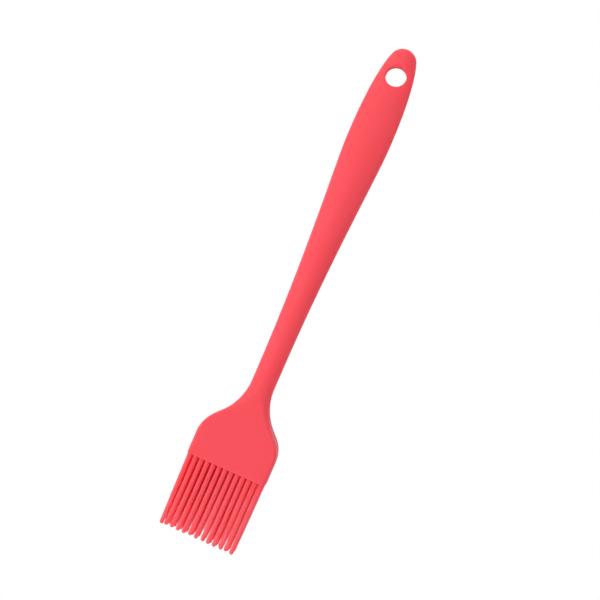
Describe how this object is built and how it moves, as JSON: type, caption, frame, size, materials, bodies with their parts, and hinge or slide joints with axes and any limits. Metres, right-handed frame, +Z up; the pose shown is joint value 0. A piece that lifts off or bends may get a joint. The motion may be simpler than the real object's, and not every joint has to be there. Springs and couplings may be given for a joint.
{
  "type": "pastry brush",
  "caption": "Long-handled red silicone pastry brush: flat flared head with rows of tapered bristles, slim neck, swelling grip and a hanging hole in its round end.",
  "frame": {"origin": "under the middle of the whole brush, on the surface that it lies on", "axes": "+Y along the handle from the bristles to the hanging end, +X across the head, +Z up through the thickness"},
  "size_m": [0.0414, 0.26, 0.0132],
  "materials": {
    "body_silicone": "matte moulded silicone",
    "bristle_silicone": "matte moulded silicone, slightly see-through at the tips",
    "steel": "blanked strip, as rolled"
  },
  "bodies": {
    "brush_body": {"silicone_body": "body_silicone", "steel_core": "steel"},
    "bristle_row_1": {"bristle_1_01": "bristle_silicone", "bristle_1_02": "bristle_silicone", "bristle_1_03": "bristle_silicone", "bristle_1_04": "bristle_silicone", "bristle_1_05": "bristle_silicone", "bristle_1_06": "bristle_silicone", "bristle_1_07": "bristle_silicone", "bristle_1_08": "bristle_silicone", "bristle_1_09": "bristle_silicone", "bristle_1_10": "bristle_silicone", "bristle_1_11": "bristle_silicone", "bristle_1_12": "bristle_silicone", "bristle_1_13": "bristle_silicone"},
    "bristle_row_2": {"bristle_2_01": "bristle_silicone", "bristle_2_02": "bristle_silicone", "bristle_2_03": "bristle_silicone", "bristle_2_04": "bristle_silicone", "bristle_2_05": "bristle_silicone", "bristle_2_06": "bristle_silicone", "bristle_2_07": "bristle_silicone", "bristle_2_08": "bristle_silicone", "bristle_2_09": "bristle_silicone", "bristle_2_10": "bristle_silicone", "bristle_2_11": "bristle_silicone", "bristle_2_12": "bristle_silicone", "bristle_2_13": "bristle_silicone"},
    "bristle_row_3": {"bristle_3_01": "bristle_silicone", "bristle_3_02": "bristle_silicone", "bristle_3_03": "bristle_silicone", "bristle_3_04": "bristle_silicone", "bristle_3_05": "bristle_silicone", "bristle_3_06": "bristle_silicone", "bristle_3_07": "bristle_silicone", "bristle_3_08": "bristle_silicone", "bristle_3_09": "bristle_silicone", "bristle_3_10": "bristle_silicone", "bristle_3_11": "bristle_silicone", "bristle_3_12": "bristle_silicone", "bristle_3_13": "bristle_silicone"},
    "bristle_row_4": {"bristle_4_01": "bristle_silicone", "bristle_4_02": "bristle_silicone", "bristle_4_03": "bristle_silicone", "bristle_4_04": "bristle_silicone", "bristle_4_05": "bristle_silicone", "bristle_4_06": "bristle_silicone", "bristle_4_07": "bristle_silicone", "bristle_4_08": "bristle_silicone", "bristle_4_09": "bristle_silicone", "bristle_4_10": "bristle_silicone", "bristle_4_11": "bristle_silicone", "bristle_4_12": "bristle_silicone", "bristle_4_13": "bristle_silicone"}
  },
  "joints": [
    {"name": "row_1_bend", "type": "hinge", "parent": "brush_body", "child": "bristle_row_1", "pos_m": [0, -0.0925, 0.0115], "axis": [-1, 0, 0], "range_deg": [-30, 30], "stiffness_Nm_per_rad": 0.003},
    {"name": "row_2_bend", "type": "hinge", "parent": "brush_body", "child": "bristle_row_2", "pos_m": [0, -0.0925, 0.00823], "axis": [-1, 0, 0], "range_deg": [-30, 30], "stiffness_Nm_per_rad": 0.003},
    {"name": "row_3_bend", "type": "hinge", "parent": "brush_body", "child": "bristle_row_3", "pos_m": [0, -0.0925, 0.00497], "axis": [-1, 0, 0], "range_deg": [-30, 30], "stiffness_Nm_per_rad": 0.003},
    {"name": "row_4_bend", "type": "hinge", "parent": "brush_body", "child": "bristle_row_4", "pos_m": [0, -0.0925, 0.0017], "axis": [-1, 0, 0], "range_deg": [-30, 30], "stiffness_Nm_per_rad": 0.003}
  ],
  "couplings": [
    {"joint": "row_2_bend", "follows": "row_1_bend", "ratio": 1},
    {"joint": "row_3_bend", "follows": "row_1_bend", "ratio": 1},
    {"joint": "row_4_bend", "follows": "row_1_bend", "ratio": 1}
  ]
}
